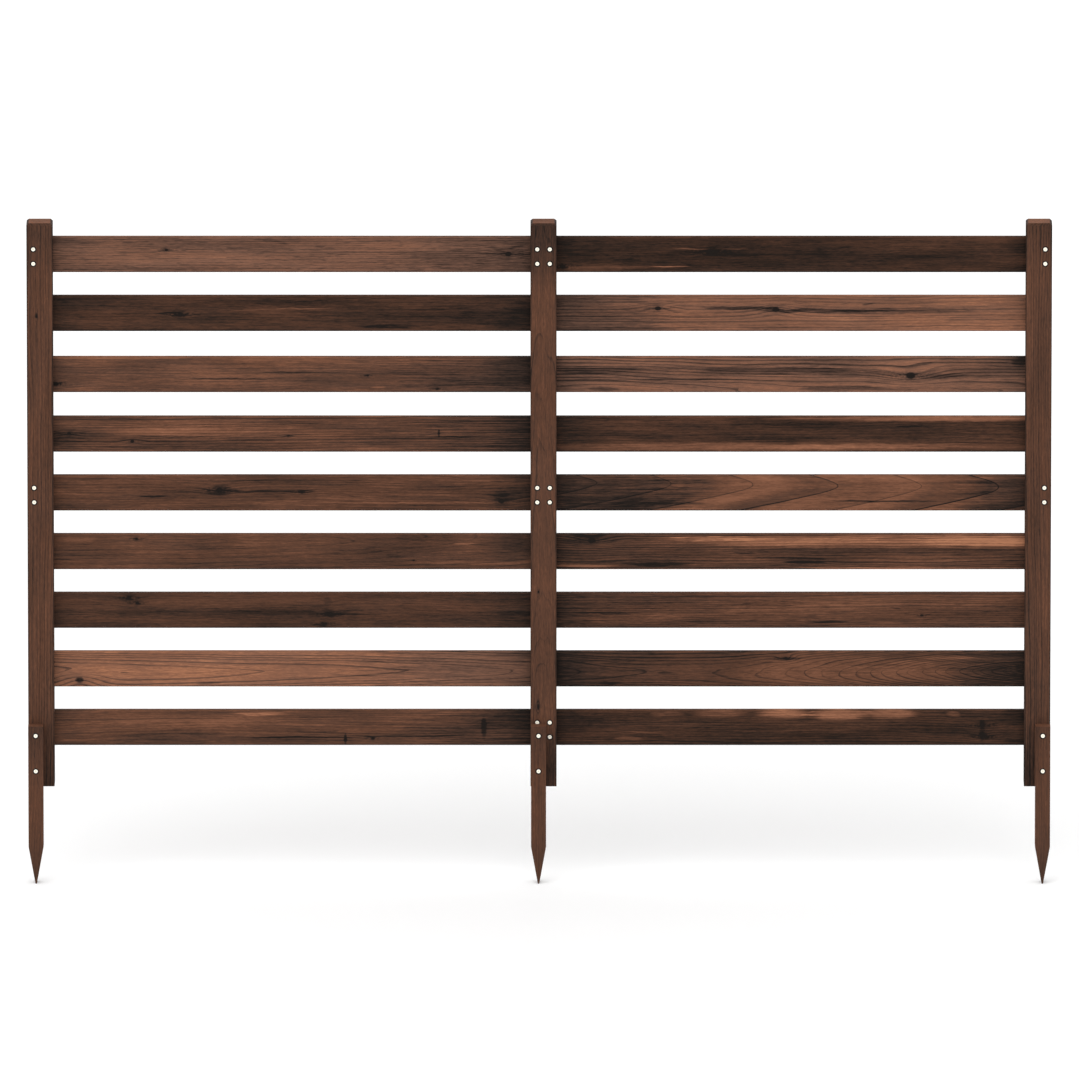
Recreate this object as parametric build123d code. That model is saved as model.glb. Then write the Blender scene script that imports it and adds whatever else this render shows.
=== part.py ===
from build123d import *
import os
from math import cos, pi, sin

# Slatted timber privacy fence: three mortised posts carry two bays of horizontal slats,
# and a pointed stake is screwed to the front of each post's foot.
# Millimetres. X runs along the fence, the front faces -Y and +Z is up.
# The origin is the centre of the middle post's foot, so the ground is at Z = 0.

# Posts
POST_WIDTH = 46.0  # along the fence
POST_DEPTH = 46.0  # front to back
POST_TOP_MARGIN = 27.3  # top slat's upper edge to the post's top
POST_TOP_CHAMFER = 4.0  # all four top edges
POST_EDGE_RADIUS = 2.0  # the four long edges
LEFT_BAY = 884.5  # left post to middle post, centre to centre
RIGHT_BAY = 869.5  # middle post to right post, centre to centre

# Slats, rows counted from the top
SLAT_ROWS = 9
SLAT_HEIGHT = 64.0
SLAT_THICKNESS = 10.0
SLAT_EDGE_CHAMFER = 1.0  # the four long edges
LOWEST_SLAT = 70.3  # ground to the underside of the bottom slat
SLAT_GAP = 42.0  # open space between two rows
GAP_UNDER_ROW_2 = 46.0
GAP_UNDER_ROW_3 = 43.4
SLAT_END_SETBACK = 1.0  # slat end to the outer side of an end post
SLAT_BUTT_GAP = 1.0  # between the two bays' slats inside the middle post
MORTISE_CLEARANCE = 0.4  # above a slat, and across its thickness

# Ground stakes
STAKE_WIDTH = 26.5
STAKE_THICKNESS = 22.0
STAKE_LENGTH = 284.5
STAKE_POINT_LENGTH = 67.0
STAKE_TIP_WIDTH = 2.5
STAKE_EDGE_RADIUS = 1.0  # the four long edges
MIDDLE_STAKE_INSET = 1.0  # middle stake's left side to the middle post's left side

# Countersunk screws. They and their holes have flat sides, few enough to keep them light.
SCREW_SIDES = 12
SCREW_HEAD_DIAMETER = 8.0
SCREW_SHANK_DIAMETER = 4.0
SCREW_POINT_LENGTH = 6.0
SCREW_TIP_DIAMETER = 1.0
SCREW_HEAD_SINK = 0.2  # head below the wood's face
SCREW_CLEARANCE = 0.1  # all round, between a screw and its hole
COUNTERSINK_REACH = 1.0  # how far a hole's cutter starts in front of the screw's head
SCREW_BACK_COVER = 6.0  # wood left behind a post screw's point
STAKE_SCREW_BACK_COVER = 8.0  # wood left behind a stake screw's point
SCREW_TO_POST_SIDE = 12.0  # a column of screws to the nearer side of its post
SCREW_PAIR_SPACING = 26.0  # centred on the slat's height
STAKE_SCREW_IN_SLAT = 26.0  # bottom slat's underside to the upper stake screw
STAKE_SCREW_TO_TOP = 17.0  # upper stake screw to the stake's top
STAKE_LOWER_SCREW = 32.3  # ground to the lower stake screw


def gap_under(row):
    """Open space between a row and the one below it."""
    wider = {2: GAP_UNDER_ROW_2, 3: GAP_UNDER_ROW_3}
    return wider.get(row, SLAT_GAP)


def slat_underside(row):
    """Height of a row's underside above the ground."""
    rows_below = range(row, SLAT_ROWS)
    return LOWEST_SLAT + sum(SLAT_HEIGHT + gap_under(upper) for upper in rows_below)


# Places that follow from the sizes above
LEFT_POST_X = -LEFT_BAY
MIDDLE_POST_X = 0.0
RIGHT_POST_X = RIGHT_BAY
FRONT_Y = -POST_DEPTH / 2
FENCE_LEFT_X = LEFT_POST_X - POST_WIDTH / 2
FENCE_RIGHT_X = RIGHT_POST_X + POST_WIDTH / 2
POST_HEIGHT = slat_underside(1) + SLAT_HEIGHT + POST_TOP_MARGIN
STAKE_SCREW_Z = LOWEST_SLAT + STAKE_SCREW_IN_SLAT
STAKE_TOP_Z = STAKE_SCREW_Z + STAKE_SCREW_TO_TOP
SCREWED_ROWS = (1, (SLAT_ROWS + 1) // 2, SLAT_ROWS)  # the others are held by their mortises
POST_SCREW_LENGTH = POST_DEPTH - SCREW_BACK_COVER
STAKE_SCREW_LENGTH = STAKE_THICKNESS + POST_DEPTH - STAKE_SCREW_BACK_COVER


def corner_ring(y, radius):
    """Corners of a regular polygon about the Y axis, at one depth."""
    turns = [2 * pi * side / SCREW_SIDES for side in range(SCREW_SIDES)]
    return [(radius * cos(turn), y, radius * sin(turn)) for turn in turns]


def flat_face(corners):
    return make_face(Polyline(*corners, close=True)).face()


def screw_form(length, clearance=0.0, reach=0.0):
    """Countersunk screw along +Y with its head's top at Y = 0, or the cutter for its hole."""
    head = SCREW_HEAD_DIAMETER / 2 + clearance
    shank = SCREW_SHANK_DIAMETER / 2 + clearance
    tip = SCREW_TIP_DIAMETER / 2 + clearance
    end = length + clearance
    rings = [
        corner_ring(-reach, head + reach),
        corner_ring(head - shank, shank),
        corner_ring(end - SCREW_POINT_LENGTH, shank),
        corner_ring(end, tip),
    ]
    faces = [flat_face(rings[0]), flat_face(rings[-1])]
    for front, back in zip(rings, rings[1:]):
        for side in range(SCREW_SIDES):
            after = (side + 1) % SCREW_SIDES
            faces.append(flat_face([front[side], front[after], back[after], back[side]]))
    return Solid(Shell(faces))


def screws_at(places, face_y, length):
    """One screw at each (x, z) place, driven in from the wood's face at face_y."""
    form = screw_form(length)
    return [Pos(x, face_y + SCREW_HEAD_SINK, z) * form for x, z in places]


def holes_at(places, face_y, length):
    """Cutters for the holes of the screws that screws_at makes."""
    form = screw_form(length, SCREW_CLEARANCE, COUNTERSINK_REACH)
    return [Pos(x, face_y + SCREW_HEAD_SINK, z) * form for x, z in places]


def screw_pair(x, row):
    """Upper and lower screw place on a row, in one column."""
    centre = slat_underside(row) + SLAT_HEIGHT / 2
    return [(x, centre + SCREW_PAIR_SPACING / 2), (x, centre - SCREW_PAIR_SPACING / 2)]


def end_post_screws(x):
    """An end post has one column. The stake's upper screw serves its bottom row."""
    return [place for row in SCREWED_ROWS[:-1] for place in screw_pair(x, row)]


def middle_post_screws():
    """The middle post has two columns. The stake's upper screw takes the lower left place."""
    half = POST_WIDTH / 2 - SCREW_TO_POST_SIDE
    places = []
    for row in SCREWED_ROWS:
        left_pair = screw_pair(MIDDLE_POST_X - half, row)
        places += left_pair[:1] if row == SLAT_ROWS else left_pair
        places += screw_pair(MIDDLE_POST_X + half, row)
    return places


def post_blank():
    """Square post with eased long edges and a chamfered top."""
    shaft = extrude(RectangleRounded(POST_WIDTH, POST_DEPTH, POST_EDGE_RADIUS), POST_HEIGHT)
    envelope = Pos(Z=POST_HEIGHT / 2) * Box(POST_WIDTH, POST_DEPTH, POST_HEIGHT)
    top_edges = envelope.faces().sort_by(Axis.Z)[-1].edges()
    return shaft & chamfer(top_edges, POST_TOP_CHAMFER)


def mortised_post(x):
    """Post with one through-mortise for each row. A slat rests on its mortise's floor."""
    height = SLAT_HEIGHT + MORTISE_CLEARANCE
    cutter = Box(2 * POST_WIDTH, SLAT_THICKNESS + MORTISE_CLEARANCE, height)
    rows = range(1, SLAT_ROWS + 1)
    mortises = [Pos(Z=slat_underside(row) + height / 2) * cutter for row in rows]
    return Pos(X=x) * (post_blank() - mortises)


def slat(row, start_x, end_x):
    """Board with chamfered long edges that runs from start_x to end_x."""
    corners = Rectangle(SLAT_THICKNESS, SLAT_HEIGHT).vertices()
    board = extrude(Plane.YZ * chamfer(corners, SLAT_EDGE_CHAMFER), end_x - start_x)
    return Pos(start_x, 0, slat_underside(row) + SLAT_HEIGHT / 2) * board


def stake(x):
    """Pointed batten, two slanting cuts to a blunt tip, with eased long edges."""
    tip_z = STAKE_TOP_Z - STAKE_LENGTH
    shoulder_z = tip_z + STAKE_POINT_LENGTH
    side = STAKE_WIDTH / 2
    tip = STAKE_TIP_WIDTH / 2
    outline = Polyline(
        (-side, STAKE_TOP_Z),
        (-side, shoulder_z),
        (-tip, tip_z),
        (tip, tip_z),
        (side, shoulder_z),
        (side, STAKE_TOP_Z),
        close=True,
    )
    front = extrude(Plane.XZ * make_face(outline), STAKE_THICKNESS / 2, both=True)
    section = RectangleRounded(STAKE_WIDTH, STAKE_THICKNESS, STAKE_EDGE_RADIUS)
    eased = Pos(Z=tip_z) * extrude(section, STAKE_LENGTH)
    return Pos(x, FRONT_Y - STAKE_THICKNESS / 2, 0) * (front & eased)


def drilled(piece, cutters):
    """The piece with the holes that reach it."""
    box = piece.bounding_box()
    reaching = [cutter for cutter in cutters if box.overlaps(cutter.bounding_box())]
    return piece - reaching if reaching else piece


end_column = POST_WIDTH / 2 - SCREW_TO_POST_SIDE
post_x = {"left": LEFT_POST_X, "middle": MIDDLE_POST_X, "right": RIGHT_POST_X}
post_places = {
    "left": end_post_screws(LEFT_POST_X - end_column),
    "middle": middle_post_screws(),
    "right": end_post_screws(RIGHT_POST_X + end_column),
}

# The end stakes are flush with the posts' outer sides, and the middle one is at its post's left.
stake_x = {
    "left": FENCE_LEFT_X + STAKE_WIDTH / 2,
    "middle": MIDDLE_POST_X - POST_WIDTH / 2 + MIDDLE_STAKE_INSET + STAKE_WIDTH / 2,
    "right": FENCE_RIGHT_X - STAKE_WIDTH / 2,
}
stake_places = {
    side: [(x, STAKE_SCREW_Z), (x, STAKE_LOWER_SCREW)]
    for side, x in stake_x.items()
}
bays = {
    "left": (FENCE_LEFT_X + SLAT_END_SETBACK, MIDDLE_POST_X - SLAT_BUTT_GAP / 2),
    "right": (MIDDLE_POST_X + SLAT_BUTT_GAP / 2, FENCE_RIGHT_X - SLAT_END_SETBACK),
}

stake_front_y = FRONT_Y - STAKE_THICKNESS
post_holes = []
stake_holes = []
for side in post_x:
    post_holes += holes_at(post_places[side], FRONT_Y, POST_SCREW_LENGTH)
    stake_holes += holes_at(stake_places[side], stake_front_y, STAKE_SCREW_LENGTH)

nodes = {}
for side in post_x:
    nodes[f"{side}_post"] = drilled(mortised_post(post_x[side]), post_holes + stake_holes)
    nodes[f"{side}_stake"] = drilled(stake(stake_x[side]), stake_holes)
    post_screws = screws_at(post_places[side], FRONT_Y, POST_SCREW_LENGTH)
    stake_screws = screws_at(stake_places[side], stake_front_y, STAKE_SCREW_LENGTH)
    nodes[f"{side}_post_screws"] = Compound(post_screws)
    nodes[f"{side}_stake_screws"] = Compound(stake_screws)
for side, (start_x, end_x) in bays.items():
    for row in range(1, SLAT_ROWS + 1):
        board = slat(row, start_x, end_x)
        nodes[f"{side}_slat_{row}"] = drilled(board, post_holes + stake_holes)

os.makedirs("parts", exist_ok=True)
for name, shape in nodes.items():
    export_step(shape, f"parts/{name}.step")
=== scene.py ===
import math
from dataclasses import dataclass

import bmesh
import bpy
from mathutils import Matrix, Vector


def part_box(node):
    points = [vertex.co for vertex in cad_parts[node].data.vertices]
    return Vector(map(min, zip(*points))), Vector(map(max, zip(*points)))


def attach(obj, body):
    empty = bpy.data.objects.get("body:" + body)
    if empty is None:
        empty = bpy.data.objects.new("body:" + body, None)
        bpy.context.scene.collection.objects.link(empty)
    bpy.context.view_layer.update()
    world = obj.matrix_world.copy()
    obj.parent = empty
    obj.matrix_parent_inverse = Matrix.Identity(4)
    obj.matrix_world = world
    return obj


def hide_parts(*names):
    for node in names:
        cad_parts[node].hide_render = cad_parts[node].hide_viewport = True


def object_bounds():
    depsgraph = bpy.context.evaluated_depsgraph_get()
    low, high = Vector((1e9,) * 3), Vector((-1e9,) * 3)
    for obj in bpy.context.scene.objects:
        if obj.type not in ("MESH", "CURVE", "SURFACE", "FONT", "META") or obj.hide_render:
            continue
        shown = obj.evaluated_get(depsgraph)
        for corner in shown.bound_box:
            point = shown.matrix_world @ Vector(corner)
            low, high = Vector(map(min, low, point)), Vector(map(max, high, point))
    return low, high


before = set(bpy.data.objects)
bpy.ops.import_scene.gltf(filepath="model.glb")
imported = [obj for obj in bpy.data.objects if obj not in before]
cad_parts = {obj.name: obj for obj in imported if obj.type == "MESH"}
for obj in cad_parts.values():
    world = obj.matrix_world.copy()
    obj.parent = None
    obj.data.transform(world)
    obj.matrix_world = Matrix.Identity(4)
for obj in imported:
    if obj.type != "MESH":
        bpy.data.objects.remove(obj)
cad_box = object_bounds()

# Lengths of the wood's figure are in millimetres, and everything else is in metres.
MM = 0.001
BODY = "root"
SIDES = ("left", "middle", "right")

# Camera: a long lens a little above the fence, square to it.
CAMERA_ELEVATION = math.radians(13.0)
CAMERA_DISTANCE = 50.0
FRAME_WIDTH = 1.8994  # width of the picture at the posts' front faces
CAMERA_TARGET = Vector((-0.0062, -0.023, 0.4455))
SENSOR_WIDTH = 36.0

# Floor, and a soft white studio
FLOOR_HALF_SIZE = 60.0
FLOOR_ALBEDO = (0.96, 0.96, 0.96, 1.0)
FLOOR_ROUGHNESS = 0.6
FLOOR_SPECULAR = 0.1
STUDIO_STRENGTH = 1.02
KEY_STRENGTH = 1.0
KEY_SOFTNESS = math.radians(60.0)
KEY_TILT = (math.radians(48.0), 0.0, math.radians(-16.0))

# Brown stain from its darkest to its lightest tone
STAIN = (
    (0.00, (0.0100, 0.0065, 0.0049)),
    (0.22, (0.0370, 0.0190, 0.0127)),
    (0.50, (0.0920, 0.0430, 0.0270)),
    (0.82, (0.2050, 0.0930, 0.0560)),
    (1.00, (0.3400, 0.1580, 0.0900)),
)
GREEN_BY_WARMTH = 0.35  # how much of the green and blue a warmer stain loses
BLUE_BY_WARMTH = 0.7
USUAL_SHADE = 0.15  # how far a board is darker than its own tone, on the whole
COLDEST, WARMEST = -0.3, 0.2
HUE_VARIATION = 0.1
WOOD_ROUGHNESS = 0.7
ROUGHNESS_BY_FIBRE, ROUGHNESS_BY_LATE = 0.04, -0.08
WOOD_SPECULAR = 0.06
WOOD_RELIEF = 0.0003
WOOD_BUMP = 0.35
LATE_HEIGHT, FIBRE_HEIGHT, PORE_HEIGHT, CORE_HEIGHT = 0.35, 0.3, 0.25, -0.5

# Screws: countersunk, cross recessed and cream coated
HEAD_RADIUS = 3.45 * MM
HEAD_BEVEL, HEAD_BEVEL_DEPTH = 0.2 * MM, 0.1 * MM
HEAD_RIM = 0.3 * MM  # depth at which the countersunk part starts
RECESS_REACH = 1.9 * MM
RECESS_HALF_WIDTH = 0.5 * MM
RECESS_DEPTH = 1.7 * MM
RECESS_FOOT = 0.55  # its size at the bottom, as a share
SCREW_ROOT = 1.45 * MM
SCREW_CREST = 1.95 * MM
SCREW_NECK = 1 * MM  # plain, between the head and the thread
SCREW_POINT = 6.0 * MM
SCREW_TIP = 0.08  # radius of the tip, as a share of the shank's
THREAD_PITCH = 2.2 * MM
THREAD_STEPS = 4  # rings to one turn
CREST_SHARE = 0.5  # of the pitch
FIRST_ROLL, ROLL_STEP = 11, 37  # degrees by which the screws are turned, each by more than the last
SAME_PLACE = 0.001 * MM  # apart, within which corners of the CAD mesh are one
RIM_START, RIM_END = 4.2 * MM, 6.4 * MM  # painted shade in a rim of wood round each head, as of its countersink
RIM_DEPTH = 3.0 * MM  # behind a head's face, where it starts to fade
RIM_SHADE_GAIN = -0.45
SCREW_COATING = ((0.0, (0.52, 0.45, 0.33)), (0.45, (0.86, 0.81, 0.68)), (1.0, (0.95, 0.92, 0.83)))
COATING_SHADE, SHADE_BY_WEAR, SHADE_BY_SPECK = 0.72, 0.14, 0.1
WEAR_RATE, SPECK_RATE = 0.8, 4.0  # per millimetre
COATING_ROUGHNESS, ROUGHNESS_BY_WEAR = 0.38, 0.08
COATING_SPECULAR = 0.4
COATING_BUMP, COATING_RELIEF = 0.2, 0.00005


@dataclass
class Knot:
    """A branch in the board: its place along and across it, its radius and how dark its feathers are."""

    along: float
    across: float
    radius: float
    feather: float = 1.0


@dataclass
class Stripe:
    """A lighter or darker stretch of the grain: its centre, half length, half width and gain."""

    along: float
    across: float
    half_length: float
    half_width: float
    gain: float


@dataclass
class Variation:
    """Noise in the wood: lengths over which it runs along and across, and how fine it is."""

    length: float
    width: float
    shift: float  # keeps it apart from the other kinds
    detail: float = 2.0
    roughness: float = 0.5


@dataclass
class Board:
    """How one board was cut from its tree, how dark it took the stain, and the light and shade painted on
    its ends and edges.
    """

    tone: float  # of the stain, from 0 to 1
    pith_across: float = 120.0  # where the tree's middle was, beside and behind the board's middle
    pith_depth: float = 45.0
    tilt_across: float = 0.0  # how the tree's middle runs off along the board
    tilt_depth: float = 0.012
    bow: float = 0.0
    taper: float = 0.0
    spacing: float = 6.0  # of the rings
    wave: float = 5.0
    contrast: float = 0.2  # of the rings' dark lines
    streaks: float = 0.25
    clouds: float = 0.32
    dashes: float = 0.1
    hue: float = 0.0  # above 0 is warmer
    end_tone_and_top_highlight: float = -0.06  # of the faces that cut across the grain: darker end grain on the slats, a painted highlight on the tops of the posts and stakes
    # Along the two long edges: painted shade along a slat's bottom edge and a painted highlight along its
    # top edge; posts get darker side edges and stakes lighter ones
    low_edge: float = -0.10
    high_edge: float = 0.06
    left_end: float = 0.10  # how much darker the board gets towards its ends: partly painted shade where the slats meet the posts, partly the boards' own darker ends
    right_end: float = 0.10
    knots: tuple = ()
    stripes: tuple = ()


# What the three posts share, and what the three stakes share
POST_FIGURE = {
    "spacing": 4, "contrast": 0.14, "streaks": 0.15, "clouds": 0.16, "dashes": 0.07,
    # a painted highlight on the posts' tops, and darker side edges
    "end_tone_and_top_highlight": 0.38, "low_edge": -0.16, "high_edge": -0.16,
}
STAKE_FIGURE = {
    "spacing": 3.5, "contrast": 0.07, "streaks": 0.08, "clouds": 0.12, "dashes": 0.05,
    # a painted highlight on the stakes' tops, and lighter side edges
    "end_tone_and_top_highlight": 0.24, "low_edge": 0.04, "high_edge": 0.04,
}

# Each board's own figure. A knot or stripe is placed by the part's x along a slat, or its z along a post or
# stake, and by its distance from the board's middle line.
BOARDS = {
    "left_slat_1": Board(
        0.66, pith_across=150, spacing=3.6, wave=2.5, contrast=0.14, streaks=0.2, clouds=0.2, dashes=0.2,
        hue=-0.26, left_end=0.16, right_end=0.14,
        knots=(Knot(-662, 8, 2.4), Knot(-62, 1, 4.6, 0.4)),
        stripes=(Stripe(-62, 1, 60, 1.2, -0.4), Stripe(-600, -10, 170, 16, 0.08),
                 Stripe(-850, 18, 60, 14, -0.12), Stripe(-60, 0, 150, 60, -0.11))),
    "left_slat_2": Board(
        0.26, pith_across=-70, pith_depth=36, tilt_depth=0.02, spacing=5, contrast=0.08, streaks=0.18,
        hue=-0.03, right_end=0.16,
        knots=(Knot(-638, -2, 3.4),),
        stripes=(Stripe(-655, 1, 25, 2.5, -0.3), Stripe(-420, 9, 60, 1.2, 0.3),
                 Stripe(-520, 6, 60, 1.5, 0.15), Stripe(-270, -23, 55, 4, -0.26),
                 Stripe(-700, 0, 100, 30, 0.06))),
    "left_slat_3": Board(
        0.53, pith_across=-110, pith_depth=40, spacing=5, contrast=0.1, streaks=0.26, right_end=0.2,
        hue=-0.08,
        knots=(Knot(-857, -17, 3.8), Knot(-309, -2, 1.6), Knot(-187, -26, 1.8)),
        stripes=(Stripe(-740, 30, 180, 3, 0.26), Stripe(-560, -8, 80, 1.5, -0.5),
                 Stripe(-430, 4, 70, 1.4, -0.34), Stripe(-360, 9, 90, 1.2, 0.15),
                 Stripe(-70, 0, 170, 60, -0.16), Stripe(-720, 8, 180, 26, 0.05),
                 Stripe(-290, -23, 14, 1.5, 0.25))),
    "left_slat_4": Board(
        0.505, pith_across=100, pith_depth=30, spacing=4.5, wave=4, contrast=0.2, streaks=0.4,
        left_end=0.13, right_end=0.3,
        knots=(Knot(-834, 1, 2.6, 0.5), Knot(-723, -13, 2.8, 0.5), Knot(-448, -3, 1.4)),
        stripes=(Stripe(-620, 4, 180, 7, 0.18), Stripe(-640, -5, 60, 1.0, -0.4),
                 Stripe(-156, -5, 32, 1.2, -0.5), Stripe(-184, 2, 2.2, 7, -0.4),
                 Stripe(-690, -22, 80, 3, -0.15), Stripe(-60, 5, 130, 40, -0.12))),
    "left_slat_5": Board(
        0.49, pith_across=-120, spacing=4, contrast=0.1, streaks=0.26, hue=0.1, left_end=0.14,
        right_end=0.24,
        knots=(Knot(-570, 5, 4.4), Knot(-425, 1, 2.4), Knot(-74, -15, 4.2, 0.4)),
        stripes=(Stripe(-480, 3, 85, 3.5, -0.3), Stripe(-692, -6, 28, 2, -0.25),
                 Stripe(-570, 5, 24, 11, -0.16), Stripe(-210, -18, 200, 1.8, 0.22),
                 Stripe(-74, -13, 16, 14, -0.12), Stripe(-470, 22, 100, 3, -0.14))),
    "left_slat_6": Board(
        0.45, pith_across=20, pith_depth=40, tilt_depth=0.02, bow=0.00003, spacing=5, contrast=0.14,
        streaks=0.24, right_end=0.18,
        knots=(Knot(-716, 23, 2.2), Knot(-228, -16, 1.2)),
        stripes=(Stripe(-110, -20, 120, 3.5, 0.2), Stripe(-140, 14, 22, 1.4, 0.3),
                 Stripe(-820, 22, 40, 5, 0.12), Stripe(-115, 13, 22, 1.4, -0.25),
                 Stripe(-600, 14, 70, 8, -0.06))),
    "left_slat_7": Board(
        0.345, pith_across=-130, spacing=4.5, contrast=0.06, streaks=0.1, clouds=0.25, right_end=0.2,
        knots=(Knot(-730, 22, 3.2), Knot(-715, 13, 2.4), Knot(-376, -7, 3.4), Knot(-386, -25, 2.8)),
        stripes=(Stripe(-620, -5, 280, 10, -0.1), Stripe(-380, 16, 8, 8, -0.12),
                 Stripe(-350, -7, 45, 2, -0.2), Stripe(-560, 14, 180, 12, 0.07),
                 Stripe(-30, -5, 60, 4, -0.15))),
    "left_slat_8": Board(
        0.88, pith_across=-5, pith_depth=24.2, tilt_depth=0.018, spacing=3.6, wave=2, contrast=0.3,
        streaks=0.14, clouds=0.2, right_end=0.16,
        knots=(Knot(-817, -20, 6.2, 0.3),),
        stripes=(Stripe(-590, -26, 20, 3, -0.25), Stripe(-330, -12, 60, 2, -0.15),
                 Stripe(-40, 0, 270, 80, -0.32))),
    "left_slat_9": Board(
        0.49, pith_across=-110, pith_depth=34, spacing=4.2, contrast=0.1, streaks=0.34, left_end=0.12,
        right_end=0.26,
        knots=(Knot(-301, -20, 1.8),),
        stripes=(Stripe(-498, 25, 46, 3.5, 0.42), Stripe(-431, -18, 90, 1.2, -0.55),
                 Stripe(-349, -22, 3, 9, -0.45), Stripe(-105, 0, 5, 20, -0.3),
                 Stripe(-105, 4, 26, 10, -0.12), Stripe(-190, -15, 170, 2, -0.2),
                 Stripe(-700, 10, 190, 18, 0.12), Stripe(-60, 0, 160, 60, -0.12))),
    "right_slat_1": Board(
        0.215, pith_across=90, spacing=4, contrast=0.06, streaks=0.13, left_end=0.08,
        knots=(Knot(34, -22, 3.4), Knot(294, 5, 4.2)),
        stripes=(Stripe(225, -22, 38, 1.3, 0.7), Stripe(120, -23, 95, 3, 0.2),
                 Stripe(262, 10, 34, 1.2, 0.4), Stripe(330, 10, 30, 1.4, 0.3),
                 Stripe(640, 0, 240, 50, 0.05), Stripe(330, 0, 60, 3, -0.12))),
    "right_slat_2": Board(
        0.74, pith_across=60, pith_depth=30, tilt_depth=0.01, spacing=4.6, wave=4, contrast=0.18,
        streaks=0.2, hue=-0.08, left_end=0.16,
        knots=(Knot(201, 9, 4.6, 0.35), Knot(408, 7, 5.0, 0.35)),
        stripes=(Stripe(350, 9, 75, 3.4, -0.5), Stripe(490, 5, 115, 4.5, -0.5),
                 Stripe(640, 5, 120, 5, -0.26), Stripe(569, 16, 10, 1.6, -0.35),
                 Stripe(330, -26, 36, 3, 0.15), Stripe(40, 0, 190, 60, -0.28))),
    "right_slat_3": Board(
        0.65, pith_across=-30, pith_depth=26, tilt_depth=0.012, spacing=4.4, wave=5, contrast=0.28,
        streaks=0.3, hue=-0.24, left_end=0.2, right_end=0.2,
        knots=(Knot(645, -2, 7.0, 0.7),),
        stripes=(Stripe(90, 8, 80, 7, -0.28), Stripe(400, 7, 160, 8, -0.3), Stripe(560, 2, 90, 6, -0.22),
                 Stripe(700, -3, 50, 6, -0.26), Stripe(105, -26, 26, 4, -0.28),
                 Stripe(520, -25, 80, 5, -0.26), Stripe(200, -9, 170, 1.2, -0.35),
                 Stripe(838, 22, 16, 9, -0.3), Stripe(620, -18, 60, 3, 0.18))),
    "right_slat_4": Board(
        0.26, pith_across=120, spacing=4.5, contrast=0.08, streaks=0.22,
        stripes=(Stripe(330, -23, 450, 8, 0.36), Stripe(660, -23, 300, 6, 0.16),
                 Stripe(680, 28, 280, 5, 0.5), Stripe(642, 14, 20, 1.6, -0.25),
                 Stripe(150, -3, 120, 2, -0.14), Stripe(110, 20, 90, 6, 0.06))),
    "right_slat_5": Board(
        0.56, pith_across=14, tilt_across=-0.01, pith_depth=8, tilt_depth=0.01, taper=0.2, spacing=28,
        wave=2.5, contrast=0.5, streaks=0.26, hue=0.04, left_end=0.08,
        stripes=(Stripe(20, 0, 230, 90, -0.34), Stripe(590, 26, 280, 6, 0.16),
                 Stripe(600, -15, 90, 2.0, -0.5), Stripe(830, -4, 100, 60, -0.24),
                 Stripe(779, -5, 12, 10, -0.1), Stripe(520, 0, 190, 60, 0.13))),
    "right_slat_6": Board(
        0.42, pith_across=-90, pith_depth=20, spacing=4, wave=5, contrast=0.22, streaks=0.34,
        left_end=0.14,
        knots=(Knot(85, 20, 5.2, 0.25),),
        stripes=(Stripe(620, 19, 380, 12, 0.5), Stripe(780, 18, 140, 12, 0.16),
                 Stripe(300, 24, 100, 5, 0.34), Stripe(205, -23, 60, 3, -0.45),
                 Stripe(456, -20, 36, 2.6, -0.45), Stripe(350, -3, 25, 1.6, -0.3),
                 Stripe(70, -25, 60, 3, 0.45), Stripe(640, -30, 320, 2.0, 0.34),
                 Stripe(430, -12, 70, 2, -0.2), Stripe(560, 14, 120, 1.2, -0.2),
                 Stripe(690, 25, 150, 1.2, -0.16), Stripe(240, 25, 16, 1.2, 0.3),
                 Stripe(270, 20, 10, 1.1, 0.3), Stripe(300, 27, 16, 1.2, 0.3),
                 Stripe(325, 22, 9, 1.1, 0.3))),
    "right_slat_7": Board(
        0.485, pith_across=140, spacing=3.8, wave=3, contrast=0.15, streaks=0.28, dashes=0.14, hue=0.08,
        left_end=0.2,
        knots=(Knot(665, -9, 1.6),),
        stripes=(Stripe(111, -5, 46, 2, -0.35), Stripe(273, -16, 32, 7, -0.16),
                 Stripe(500, -21, 36, 2, -0.3), Stripe(660, 16, 200, 16, 0.12),
                 Stripe(620, 4, 10, 1.5, -0.25), Stripe(70, 0, 140, 60, -0.1))),
    "right_slat_8": Board(
        0.45, pith_across=-4, pith_depth=42, tilt_depth=-0.055, bow=-0.00012, spacing=2.3, wave=3,
        contrast=0.26, streaks=0.26, left_end=0.2, right_end=0.1,
        knots=(Knot(427, 19, 2.6),),
        stripes=(Stripe(427, 19, 26, 3, -0.22), Stripe(785, -8, 75, 26, -0.11),
                 Stripe(650, 12, 45, 4, 0.14), Stripe(715, 20, 55, 4, 0.28),
                 Stripe(540, -2, 170, 30, 0.12), Stripe(120, -26, 20, 2.5, -0.3),
                 Stripe(214, -7, 14, 2.4, -0.26), Stripe(20, 4, 180, 70, -0.13),
                 Stripe(850, 0, 140, 60, -0.13))),
    "right_slat_9": Board(
        0.25, pith_across=-100, pith_depth=24, spacing=4.4, contrast=0.12, streaks=0.24,
        knots=(Knot(773, 4, 3.2), Knot(775, -16, 3.2)),
        stripes=(Stripe(425, 26, 48, 10, 0.56), Stripe(520, 25, 52, 12, 0.6),
                 Stripe(612, 26, 44, 11, 0.52), Stripe(310, 26, 48, 8, 0.42), Stripe(225, 25, 22, 5, 0.2),
                 Stripe(175, -8, 40, 1.5, 0.25), Stripe(150, -20, 24, 3, 0.28),
                 Stripe(773, -5, 5, 20, -0.16), Stripe(722, 24, 12, 5, 0.28), Stripe(200, 24, 14, 5, 0.2),
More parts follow.
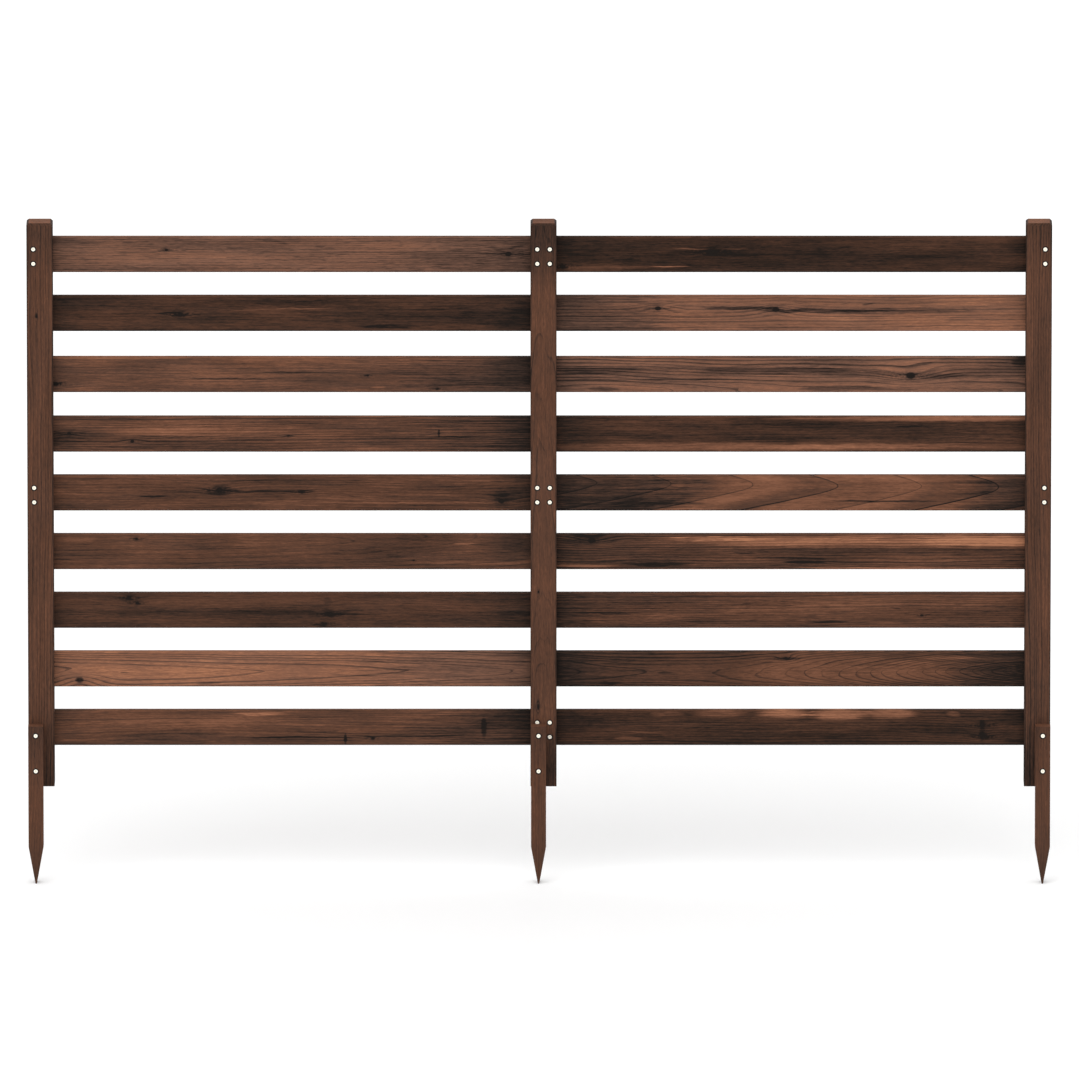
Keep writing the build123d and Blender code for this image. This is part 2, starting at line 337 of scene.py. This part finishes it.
                 Stripe(500, 15, 60, 1.2, -0.2))),
    "left_post": Board(
        0.465, pith_across=60, pith_depth=26,
        knots=(Knot(848, -6, 1.6),),
        # the stripe is a painted shadow of the stake on the post's foot beside it
        stripes=(Stripe(35, 14, 75, 12, -0.12),),
        **POST_FIGURE),
    "middle_post": Board(
        0.465, pith_across=3, pith_depth=30, tilt_depth=0.03,
        knots=(Knot(352, -9, 1.6), Knot(144, -9, 2.2)),
        # the second stripe is a painted shadow of the stake on the post's foot beside it
        stripes=(Stripe(985, 0, 80, 60, -0.11), Stripe(35, 14, 75, 12, -0.14)),
        **POST_FIGURE),
    "right_post": Board(
        0.46, pith_across=-60, pith_depth=24,
        # the stripe is a painted shadow of the stake on the post's foot beside it
        stripes=(Stripe(35, -14, 75, 12, -0.12),),
        **POST_FIGURE),
    "left_stake": Board(0.465, pith_across=60, **STAKE_FIGURE),
    "middle_stake": Board(0.47, pith_across=-70, **STAKE_FIGURE),
    "right_stake": Board(0.475, pith_across=90, **STAKE_FIGURE),
}

# Kinds of variation in the wood
WAVE = Variation(420.0, 60.0, 3.1)
RIPPLE = Variation(90.0, 12.0, 7.7)
STREAK = Variation(150.0, 2.7, 11.3, 4.0, 0.62)
CLOUD = Variation(210.0, 26.0, 23.9, 3.0, 0.55)
FIBRE = Variation(26.0, 1.5, 31.7, 2.0, 0.6)
PORE = Variation(8.0, 1.3, 41.3, 1.0)
DASH = Variation(22.0, 1.5, 53.9, 1.0)
HUE = Variation(150.0, 15.0, 67.1)
RIPPLE_SHARE = 0.09  # of a board's wave
DASH_START, DASH_FULL = 0.2, 0.7
SEED_STEP = 17.3  # from one board to the next

# Rings: a shade that grows through each year, and a dark line that ends it
LINE_WIDTH = 1.7  # as it shows on a face
LINE_START, LINE_END = LINE_WIDTH * 0.4, LINE_WIDTH * 1.6
SHADE_START, SHADE_FULL, SHADE_DROP = 0.25, 0.92, 0.93  # shares of a year
FLAT_SLOPE, STEEP_SLOPE = 0.1, 0.5  # of the rings to a face, between which their shade comes in
LEAST_SLOPE = 0.08
LINE_SHARE, SHADE_SHARE = 0.8, 0.25
FAINTEST_YEAR = 0.4
UNEVEN_RATE, UNEVEN_YEARS = 0.45, 0.35  # how fast the rings' spacing varies, and by how many years

# Knots, with lengths as shares of their radius
KNOT_RATE_ALONG, KNOT_RATE_ACROSS = 0.22, 0.3  # of their roughness, per millimetre
CORE_STRETCH, CORE_ROUGHNESS = 0.72, 0.16
CORE_FULL, CORE_END = 0.5, 1.05
HALO_LENGTH, HALO_WIDTH, HALO_GAIN = 2.2, 1.9, 0.5
FEATHER_LENGTH, FEATHER_WIDTH, FEATHER_BREAK = 7.0, 1.1, 0.7
BULGE_LENGTH, BULGE_WIDTH, BULGE_GAIN = 7.5, 2.6, 1.5

# Stripes
STRIPE_WAVER, STRIPE_WAVER_LENGTH = 1.3, 38.0
STRIPE_FULL, STRIPE_END = 0.1, 1.5  # of the squared distance from a stripe's middle
STRIPE_BY_STREAK, STRIPE_BY_FIBRE = 0.6, 0.3

# How much each of them darkens or lightens the stain
LATE_GAIN = -1.5  # times a board's contrast
STREAK_GAIN, DARK_STREAK_GAIN = 0.5, -0.8  # times a board's streaks
DARK_STREAK_START, DARK_STREAK_FULL = 0.55, 1.1
CLOUD_GAIN = 0.6  # times a board's clouds
FIBRE_GAIN, PORE_GAIN = 0.075, 0.07
CORE_GAIN, FEATHER_GAIN = -0.6, -0.4
END_REACH = 120.0  # how far the darker ends, partly painted shade by the posts, reach into a board
EDGE_LINE, EDGE_REACH = 0.6, 3.4  # from a board's edge, where the painted highlight and shade along it are full and where they end
SQUARE_START, SQUARE_FULL = 0.75, 0.95  # how squarely a face cuts the grain, for its end to show


class Graph:
    """Short forms for adding shader nodes to one tree."""

    def __init__(self, tree):
        self.tree = tree

    def feed(self, socket, value):
        if isinstance(value, bpy.types.NodeSocket):
            self.tree.links.new(value, socket)
        else:
            socket.default_value = value

    def add(self, kind, inputs=(), **settings):
        made = self.tree.nodes.new(kind)
        for name, value in settings.items():
            setattr(made, name, value)
        for name, value in dict(inputs).items():
            self.feed(made.inputs[name], value)
        return made

    def math(self, operation, *values):
        return self.add("ShaderNodeMath", enumerate(values), operation=operation).outputs[0]

    def total(self, *values):
        result = values[0]
        for value in values[1:]:
            result = self.math("ADD", result, value)
        return result

    def times(self, *values):
        result = values[0]
        for value in values[1:]:
            result = self.math("MULTIPLY", result, value)
        return result

    def length(self, a, b):
        return self.math("SQRT", self.total(self.times(a, a), self.times(b, b)))

    def smooth(self, value, low, high, start=0.0, end=1.0):
        inputs = {"Value": value, "From Min": low, "From Max": high, "To Min": start, "To Max": end}
        return self.add("ShaderNodeMapRange", inputs, interpolation_type="SMOOTHSTEP").outputs["Result"]

    def vector(self, x, y, z):
        return self.add("ShaderNodeCombineXYZ", {"X": x, "Y": y, "Z": z}).outputs[0]

    def noise(self, along, across, through, detail=2.0, roughness=0.5):
        """Smooth noise between about -1 and 1."""
        place = self.vector(along, across, through)
        inputs = {"Vector": place, "Scale": 1.0, "Detail": detail, "Roughness": roughness}
        fac = self.add("ShaderNodeTexNoise", inputs).outputs[0]
        return self.math("MULTIPLY_ADD", fac, 4.0, -2.0)

    def ramp(self, fac, stops):
        made = self.add("ShaderNodeValToRGB", {"Fac": fac})
        elements = made.color_ramp.elements
        while len(elements) < len(stops):
            elements.new(0.5)
        for element, (position, colour) in zip(elements, stops):
            element.position = position
            element.color = (*colour, 1.0)
        return made.outputs["Color"]

    def group(self, tree, inputs):
        made = self.add("ShaderNodeGroup", node_tree=tree)
        for name, value in inputs.items():
            self.feed(made.inputs[name], value)
        return made.outputs


def new_group(name, inputs, outputs):
    """An empty node group of float sockets, with its graph, its inputs and its output node."""
    tree = bpy.data.node_groups.new(name, "ShaderNodeTree")
    for socket in inputs:
        tree.interface.new_socket(socket, in_out="INPUT", socket_type="NodeSocketFloat")
    for socket in outputs:
        tree.interface.new_socket(socket, in_out="OUTPUT", socket_type="NodeSocketFloat")
    graph = Graph(tree)
    return tree, graph, graph.add("NodeGroupInput").outputs, graph.add("NodeGroupOutput").inputs


def knot_group():
    """Dark core, dark feathers along the grain, and the rings' bulge round one knot."""
    tree, g, given, out = new_group(
        "knot", ("Along", "Across", "Knot along", "Knot across", "Radius"), ("Core", "Feather", "Bulge"))
    along = g.math("SUBTRACT", given["Along"], given["Knot along"])
    across = g.math("SUBTRACT", given["Across"], given["Knot across"])
    rough = g.noise(g.times(along, KNOT_RATE_ALONG), g.times(across, KNOT_RATE_ACROSS), given["Knot along"])
    long = g.math("DIVIDE", along, given["Radius"])
    wide = g.math("DIVIDE", across, given["Radius"])

    def bell(length, width):
        reach = g.length(g.times(long, 1.0 / length), g.times(wide, 1.0 / width))
        return g.math("EXPONENT", g.times(reach, reach, -1.0))

    edge = g.total(g.length(g.times(long, CORE_STRETCH), wide), g.times(rough, CORE_ROUGHNESS))
    g.feed(out["Core"], g.smooth(edge, CORE_FULL, CORE_END, 1.0, 0.0))
    halo = g.times(bell(HALO_LENGTH, HALO_WIDTH), HALO_GAIN)
    broken = g.smooth(rough, -FEATHER_BREAK, FEATHER_BREAK)
    g.feed(out["Feather"], g.total(halo, g.times(bell(FEATHER_LENGTH, FEATHER_WIDTH), broken)))
    g.feed(out["Bulge"], g.times(bell(BULGE_LENGTH, BULGE_WIDTH), given["Radius"], BULGE_GAIN))
    return tree


def grain_group():
    """Rings, streaks, clouds and fibres of a board, from millimetres along, across and through it."""
    tree, g, given, out = new_group(
        "grain",
        ("Along", "Across", "Through", "Seed", "Pith across", "Pith depth", "Tilt across", "Tilt depth",
         "Bow", "Taper", "Spacing", "Wave", "Bulge"),
        ("Late wood", "Streak", "Cloud", "Fibre", "Dash", "Pore", "Hue"))
    along, across, through, seed = (given[name] for name in ("Along", "Across", "Through", "Seed"))

    def wood_noise(kind, sideways=across):
        return g.noise(
            g.math("MULTIPLY_ADD", along, 1.0 / kind.length, seed),
            g.math("MULTIPLY_ADD", sideways, 1.0 / kind.width, kind.shift),
            g.math("MULTIPLY_ADD", through, 1.0 / kind.width, kind.shift),
            kind.detail, kind.roughness)

    wave = g.times(wood_noise(WAVE), given["Wave"])
    ripple = g.times(wood_noise(RIPPLE), given["Wave"], RIPPLE_SHARE)
    pith_aside = g.math("MULTIPLY_ADD", along, given["Tilt across"], given["Pith across"])
    aside = g.math("SUBTRACT", across, pith_aside)
    pith = g.math("MULTIPLY_ADD", along, given["Tilt depth"], given["Pith depth"])
    pith = g.total(pith, g.times(along, along, given["Bow"]))
    behind = g.math("SUBTRACT", through, pith)
    from_pith = g.length(aside, behind)
    flow = g.total(across, wave, ripple, given["Bulge"])
    radius = g.total(from_pith, g.times(along, given["Taper"]), wave, ripple, given["Bulge"])
    years = g.math("DIVIDE", radius, given["Spacing"])
    uneven = g.noise(g.times(years, UNEVEN_RATE), seed, 0.0, detail=0.0)
    years = g.math("MULTIPLY_ADD", uneven, UNEVEN_YEARS, years)
    season = g.math("FRACT", years)
    draw = {"W": g.math("FLOOR", years)}
    year = g.add("ShaderNodeTexWhiteNoise", draw, noise_dimensions="1D").outputs["Value"]
    slope = g.math("DIVIDE", g.math("ABSOLUTE", aside), from_pith)
    least = g.math("MAXIMUM", g.math("ABSOLUTE", given["Taper"]), LEAST_SLOPE)
    slope = g.math("MAXIMUM", slope, least)
    to_line = g.math("DIVIDE", g.times(g.math("SUBTRACT", 1.0, season), given["Spacing"]), slope)
    line = g.smooth(to_line, LINE_START, LINE_END, 1.0, 0.0)
    shade = g.times(g.smooth(season, SHADE_START, SHADE_FULL), g.smooth(season, SHADE_DROP, 1.0, 1.0, 0.0))
    shade = g.times(shade, g.smooth(slope, FLAT_SLOPE, STEEP_SLOPE))
    late = g.total(g.times(line, LINE_SHARE), g.times(shade, SHADE_SHARE))
    late = g.times(late, g.math("MULTIPLY_ADD", year, 1.0 - FAINTEST_YEAR, FAINTEST_YEAR))

    g.feed(out["Late wood"], late)
    g.feed(out["Streak"], wood_noise(STREAK, flow))
    g.feed(out["Cloud"], wood_noise(CLOUD, radius))
    g.feed(out["Fibre"], wood_noise(FIBRE))
    g.feed(out["Dash"], g.smooth(wood_noise(DASH, flow), DASH_START, DASH_FULL))
    g.feed(out["Pore"], wood_noise(PORE))
    g.feed(out["Hue"], wood_noise(HUE, radius))
    return tree


def stripe_group():
    """One long patch of the grain, wavy and feathered along its streaks."""
    tree, g, given, out = new_group(
        "stripe",
        ("Along", "Across", "Feather", "Seed", "Centre along", "Centre across", "Half length", "Half width"),
        ("Mask",))
    along = g.math("SUBTRACT", given["Along"], given["Centre along"])
    place = g.times(given["Along"], 1.0 / STRIPE_WAVER_LENGTH)
    waver = g.noise(place, given["Seed"], given["Centre across"])
    across = g.total(given["Across"], g.times(waver, STRIPE_WAVER))
    across = g.math("SUBTRACT", across, given["Centre across"])
    long = g.math("DIVIDE", along, given["Half length"])
    wide = g.math("DIVIDE", across, given["Half width"])
    reach = g.total(g.times(long, long), g.times(wide, wide), given["Feather"])
    g.feed(out["Mask"], g.smooth(reach, STRIPE_FULL, STRIPE_END, 1.0, 0.0))
    return tree


KNOT_GROUP = knot_group()
STRIPE_GROUP = stripe_group()
GRAIN_GROUP = grain_group()


def board_axes(g, node):
    """Millimetres along, across and through a board, and how squarely a face cuts its grain.

    Then come the board's half length, its half width, and where its middle is along the part.
    """
    low, high = (Vector(corner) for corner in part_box(node))
    centre = (low + high) / 2
    upright = (high - low).z > (high - low).x
    coordinates = g.add("ShaderNodeTexCoord").outputs["Object"]
    place = g.add("ShaderNodeVectorMath", {0: coordinates, 1: tuple(centre)}, operation="SUBTRACT")
    scaled = g.add("ShaderNodeVectorMath", {0: place.outputs[0], "Scale": 1.0 / MM}, operation="SCALE")
    x, y, z = g.add("ShaderNodeSeparateXYZ", {0: scaled.outputs[0]}).outputs
    normal = g.add("ShaderNodeNewGeometry").outputs["True Normal"]
    normal_x, _, normal_z = g.add("ShaderNodeSeparateXYZ", {0: normal}).outputs
    half = (high - low) / MM / 2
    if upright:
        return z, x, y, g.math("ABSOLUTE", normal_z), half.z, half.x, centre.z / MM
    return x, z, y, g.math("ABSOLUTE", normal_x), half.x, half.z, centre.x / MM


def screw_rim_shade(g, node):
    """How much darker the front of a post or stake is, close round each of its screws: painted shade, as of
    each head's countersink.
    """
    coordinates = g.add("ShaderNodeTexCoord").outputs["Object"]
    x, y, z = g.add("ShaderNodeSeparateXYZ", {0: coordinates}).outputs
    places = screw_places(f"{node}_screws")
    front = places[-1][2]  # the same for all of them
    nearest = RIM_END
    for screw_x, screw_z, _, _ in places:
        away = g.length(g.math("SUBTRACT", x, screw_x), g.math("SUBTRACT", z, screw_z))
        nearest = g.math("MINIMUM", away, nearest)
    rim = g.smooth(nearest, RIM_START, RIM_END, RIM_SHADE_GAIN, 0.0)
    return g.times(rim, g.smooth(y, front + RIM_DEPTH, front + 2 * RIM_DEPTH, 1.0, 0.0))


def stained(g, tone, board, hue):
    """Colour of the stain, greyer where a board is darker than its own tone and warmer where lighter."""
    plain = g.add("ShaderNodeSeparateColor", {"Color": g.ramp(tone, STAIN)}).outputs
    warmth = g.total(tone, board.hue + USUAL_SHADE - board.tone, g.times(hue, HUE_VARIATION))
    warmth = g.math("MINIMUM", g.math("MAXIMUM", warmth, COLDEST), WARMEST)
    green = g.times(plain["Green"], g.math("MULTIPLY_ADD", warmth, -GREEN_BY_WARMTH, 1.0))
    blue = g.times(plain["Blue"], g.math("MULTIPLY_ADD", warmth, -BLUE_BY_WARMTH, 1.0))
    return g.add("ShaderNodeCombineColor", {"Red": plain["Red"], "Green": green, "Blue": blue}).outputs[0]


def wood_material(node, board, seed):
    """Stained softwood for one board, with its own rings, knots and tone, and painted light and shade on its
    ends, edges and round its screws.
    """
    material = bpy.data.materials.new(f"wood_{node}")
    material.use_nodes = True
    material.node_tree.nodes.clear()
    g = Graph(material.node_tree)
    along, across, through, square, half_length, half_width, centre_along = board_axes(g, node)

    cores, feathers, bulges = [], [], []
    for knot in board.knots:
        found = g.group(KNOT_GROUP, {
            "Along": along, "Across": across, "Radius": knot.radius,
            "Knot along": knot.along - centre_along, "Knot across": knot.across})
        cores.append(found["Core"])
        feathers.append(g.times(found["Feather"], knot.feather))
        bulges.append(found["Bulge"])
    grain = g.group(GRAIN_GROUP, {
        "Along": along, "Across": across, "Through": through, "Seed": seed,
        "Pith across": board.pith_across, "Pith depth": board.pith_depth,
        "Tilt across": board.tilt_across, "Tilt depth": board.tilt_depth,
        "Bow": board.bow, "Taper": board.taper, "Spacing": board.spacing, "Wave": board.wave,
        "Bulge": g.total(*bulges) if bulges else 0.0})

    dark_streak = g.smooth(grain["Streak"], DARK_STREAK_START, DARK_STREAK_FULL)
    tone = [
        board.tone,
        g.times(grain["Late wood"], LATE_GAIN * board.contrast),
        g.times(grain["Streak"], STREAK_GAIN * board.streaks),
        g.times(dark_streak, DARK_STREAK_GAIN * board.streaks),
        g.times(grain["Cloud"], CLOUD_GAIN * board.clouds),
        g.times(grain["Fibre"], FIBRE_GAIN),
        g.times(grain["Dash"], -board.dashes),
        g.times(grain["Pore"], PORE_GAIN),
        # darker ends: partly painted shade where the slats meet the posts
        g.smooth(along, -half_length, -half_length + END_REACH, -board.left_end, 0.0),
        g.smooth(along, half_length - END_REACH, half_length, 0.0, -board.right_end),
        # end faces: darker end grain on the slats, a painted highlight on the posts' and stakes' tops
        g.smooth(square, SQUARE_START, SQUARE_FULL, 0.0, board.end_tone_and_top_highlight),
        # painted shade and highlight along the long edges: on the slats darker at the bottom edge and
        # lighter at the top
        g.smooth(across, EDGE_LINE - half_width, EDGE_REACH - half_width, board.low_edge, 0.0),
        g.smooth(across, half_width - EDGE_REACH, half_width - EDGE_LINE, 0.0, board.high_edge),
    ]
    feather = g.total(g.times(grain["Streak"], STRIPE_BY_STREAK), g.times(grain["Fibre"], STRIPE_BY_FIBRE))
    for stripe in board.stripes:
        found = g.group(STRIPE_GROUP, {
            "Along": along, "Across": across, "Feather": feather, "Seed": seed,
            "Centre along": stripe.along - centre_along, "Centre across": stripe.across,
            "Half length": stripe.half_length, "Half width": stripe.half_width})
        tone.append(g.times(found["Mask"], stripe.gain))
    # painted shade round each screw head
    if f"{node}_screws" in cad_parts:
        tone.append(screw_rim_shade(g, node))
    tone += [g.times(core, CORE_GAIN) for core in cores]
    tone += [g.times(dark, FEATHER_GAIN) for dark in feathers]
    colour = stained(g, g.total(*tone), board, grain["Hue"])

    height = g.total(
        g.times(grain["Late wood"], LATE_HEIGHT),
        g.times(grain["Fibre"], FIBRE_HEIGHT),
        g.times(grain["Pore"], PORE_HEIGHT),
        *[g.times(core, CORE_HEIGHT) for core in cores])
    bump = g.add("ShaderNodeBump", {"Strength": WOOD_BUMP, "Distance": WOOD_RELIEF, "Height": height})
    roughness = g.total(
        WOOD_ROUGHNESS,
        g.times(grain["Fibre"], ROUGHNESS_BY_FIBRE),
        g.times(grain["Late wood"], ROUGHNESS_BY_LATE))
    shader = g.add("ShaderNodeBsdfPrincipled", {
        "Base Color": colour, "Roughness": roughness, "Normal": bump.outputs[0],
        "Specular IOR Level": WOOD_SPECULAR})
    g.add("ShaderNodeOutputMaterial", {"Surface": shader.outputs[0]})
    return material


def dress_boards():
    """Gives every post, slat and stake its own wood."""
    for index, (node, board) in enumerate(BOARDS.items()):
        material = wood_material(node, board, seed=SEED_STEP * (index + 1))
        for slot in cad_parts[node].material_slots:
            slot.material = material


def cross_reach(angle):
    """How far the cross recess reaches from the screw's axis at an angle."""
    c = max(abs(math.cos(angle)), 1e-6)
    s = max(abs(math.sin(angle)), 1e-6)
    first = min(RECESS_REACH / c, RECESS_HALF_WIDTH / s)
    second = min(RECESS_REACH / s, RECESS_HALF_WIDTH / c)
    return max(first, second)


def recess_angles():
    """Angles round the screw, one of them at every corner of the cross."""
    corner = math.degrees(math.atan2(RECESS_HALF_WIDTH, RECESS_REACH))
    quarter = (0.0, corner, (corner + 45) / 2, 45.0, (135 - corner) / 2, 90 - corner)
    return [math.radians(turn + angle) for turn in (0, 90, 180, 270) for angle in quarter]


def thread_radius(depth, angle, length):
    """Radius of the threaded shank, which runs out to a point."""
    turn = (depth / THREAD_PITCH - angle / (2 * math.pi)) % 1.0
    crest = max(0.0, 1.0 - abs(turn - 0.5) * 2 / CREST_SHARE)
    point = min(1.0, max(SCREW_TIP, (length - depth) / SCREW_POINT))
    return (SCREW_ROOT + (SCREW_CREST - SCREW_ROOT) * crest) * point


def add_screw(mesh, x, z, front, length, roll):
    """One countersunk cross-head screw along +Y, with its head's face at y = front."""
    angles = recess_angles()
    rings = [
        (RECESS_DEPTH, [RECESS_FOOT * cross_reach(a) for a in angles]),
        (0.0, [cross_reach(a) for a in angles]),
        (0.0, [HEAD_RADIUS - HEAD_BEVEL] * len(angles)),
        (HEAD_BEVEL_DEPTH, [HEAD_RADIUS] * len(angles)),
        (HEAD_RIM, [HEAD_RADIUS] * len(angles)),
        (HEAD_RIM + HEAD_RADIUS - SCREW_ROOT, [SCREW_ROOT] * len(angles)),
    ]
    start = rings[-1][0] + SCREW_NECK
    count = int((length - start) / (THREAD_PITCH / THREAD_STEPS))
    for step in range(count + 1):
        depth = start + (length - start) * step / count
        rings.append((depth, [thread_radius(depth, a, length) for a in angles]))

    made = []
    for depth, radii in rings:
        ring = []
        for angle, radius in zip(angles, radii):
            turned = angle + roll
            place = (x + radius * math.cos(turned), front + depth, z + radius * math.sin(turned))
            ring.append(mesh.verts.new(place))
        made.append(ring)
    for ring, following in zip(made, made[1:]):
        for i in range(len(angles)):
            j = (i + 1) % len(angles)
            mesh.faces.new((ring[i], ring[j], following[j], following[i]))
    mesh.faces.new(list(reversed(made[0])))
    mesh.faces.new(made[-1])


def islands(mesh):
    """The separate solids of a mesh, as lists of vertices."""
    waiting = set(mesh.verts)
    found = []
    while waiting:
        front = [waiting.pop()]
        solid = []
        while front:
            vertex = front.pop()
            solid.append(vertex)
            for edge in vertex.link_edges:
                other = edge.other_vert(vertex)
                if other in waiting:
                    waiting.remove(other)
                    front.append(other)
        found.append(solid)
    return found


def screw_material():
    """Cream coating, a little worn and dusty."""
    material = bpy.data.materials.new("screw_coating")
    material.use_nodes = True
    material.node_tree.nodes.clear()
    g = Graph(material.node_tree)
    coordinates = g.add("ShaderNodeTexCoord").outputs["Object"]
    scaled = g.add("ShaderNodeVectorMath", {0: coordinates, "Scale": 1.0 / MM}, operation="SCALE")
    x, y, z = g.add("ShaderNodeSeparateXYZ", {0: scaled.outputs[0]}).outputs
    wear = g.noise(*[g.times(value, WEAR_RATE) for value in (x, y, z)], detail=3.0)
    speck = g.noise(*[g.times(value, SPECK_RATE) for value in (x, y, z)])
    shade = g.total(COATING_SHADE, g.times(wear, SHADE_BY_WEAR), g.times(speck, SHADE_BY_SPECK))
    colour = g.ramp(shade, SCREW_COATING)
    bump = g.add("ShaderNodeBump", {"Strength": COATING_BUMP, "Distance": COATING_RELIEF, "Height": speck})
    roughness = g.total(COATING_ROUGHNESS, g.times(wear, ROUGHNESS_BY_WEAR))
    shader = g.add("ShaderNodeBsdfPrincipled", {
        "Base Color": colour, "Roughness": roughness, "Normal": bump.outputs[0],
        "Specular IOR Level": COATING_SPECULAR})
    g.add("ShaderNodeOutputMaterial", {"Surface": shader.outputs[0]})
    return material


def screw_places(node):
    """Place, front and length of each screw of a CAD node, from left to right."""
    plain = bmesh.new()
    plain.from_mesh(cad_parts[node].data)
    bmesh.ops.remove_doubles(plain, verts=plain.verts, dist=SAME_PLACE)
    places = []
    for solid in islands(plain):
        low = [min(v.co[axis] for v in solid) for axis in range(3)]
        high = [max(v.co[axis] for v in solid) for axis in range(3)]
        places.append(((low[0] + high[0]) / 2, (low[2] + high[2]) / 2, low[1], high[1] - low[1]))
    plain.free()
    return sorted(places)


def dress_screws():
    """Detailed screws in place of the plain ones, each where the CAD has it."""
    material = screw_material()
    for node in [f"{side}_{kind}_screws" for side in SIDES for kind in ("post", "stake")]:
        detailed = bmesh.new()
        for index, (x, z, front, length) in enumerate(screw_places(node)):
            add_screw(detailed, x, z, front, length, roll=math.radians(ROLL_STEP * index + FIRST_ROLL))
        bmesh.ops.recalc_face_normals(detailed, faces=detailed.faces)
        mesh = bpy.data.meshes.new(f"{node}_detailed")
        detailed.to_mesh(mesh)
        detailed.free()
        mesh.materials.append(material)
        piece = bpy.data.objects.new(f"{node}_detailed", mesh)
        bpy.context.collection.objects.link(piece)
        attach(piece, BODY)
        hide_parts(node)


def floor():
    """Plain white studio floor under the stakes' points."""
    level = cad_box[0][2]
    mesh = bpy.data.meshes.new("floor")
    half = FLOOR_HALF_SIZE
    corners = [(-half, -half, level), (half, -half, level), (half, half, level), (-half, half, level)]
    mesh.from_pydata(corners, [], [(0, 1, 2, 3)])
    plane = bpy.data.objects.new("floor", mesh)
    bpy.context.collection.objects.link(plane)
    material = bpy.data.materials.new("floor")
    material.use_nodes = True
    shader = material.node_tree.nodes["Principled BSDF"]
    shader.inputs["Base Color"].default_value = FLOOR_ALBEDO
    shader.inputs["Roughness"].default_value = FLOOR_ROUGHNESS
    shader.inputs["Specular IOR Level"].default_value = FLOOR_SPECULAR
    mesh.materials.append(material)


def studio_light():
    """Even white surroundings, with a broad soft key from above and a little to the left."""
    world = bpy.data.worlds.new("studio")
    bpy.context.scene.world = world
    world.use_nodes = True
    background = world.node_tree.nodes["Background"]
    background.inputs["Color"].default_value = (1.0, 1.0, 1.0, 1.0)
    background.inputs["Strength"].default_value = STUDIO_STRENGTH
    key = bpy.data.lights.new("key", "SUN")
    key.energy = KEY_STRENGTH
    key.angle = KEY_SOFTNESS
    lamp = bpy.data.objects.new("key", key)
    lamp.rotation_euler = KEY_TILT
    bpy.context.collection.objects.link(lamp)


def camera():
    """Long lens at the photograph's angle."""
    data = bpy.data.cameras.new("camera")
    data.sensor_width = SENSOR_WIDTH
    data.lens = SENSOR_WIDTH * CAMERA_DISTANCE / FRAME_WIDTH
    data.clip_end = 10 * CAMERA_DISTANCE
    eye = bpy.data.objects.new("camera", data)
    away = Vector((0.0, -math.cos(CAMERA_ELEVATION), math.sin(CAMERA_ELEVATION)))
    eye.location = CAMERA_TARGET + CAMERA_DISTANCE * away
    eye.rotation_euler = (math.pi / 2 - CAMERA_ELEVATION, 0.0, 0.0)
    bpy.context.collection.objects.link(eye)
    bpy.context.scene.camera = eye


dress_boards()
dress_screws()
floor()
studio_light()
camera()
bpy.context.scene.view_settings.view_transform = "Standard"
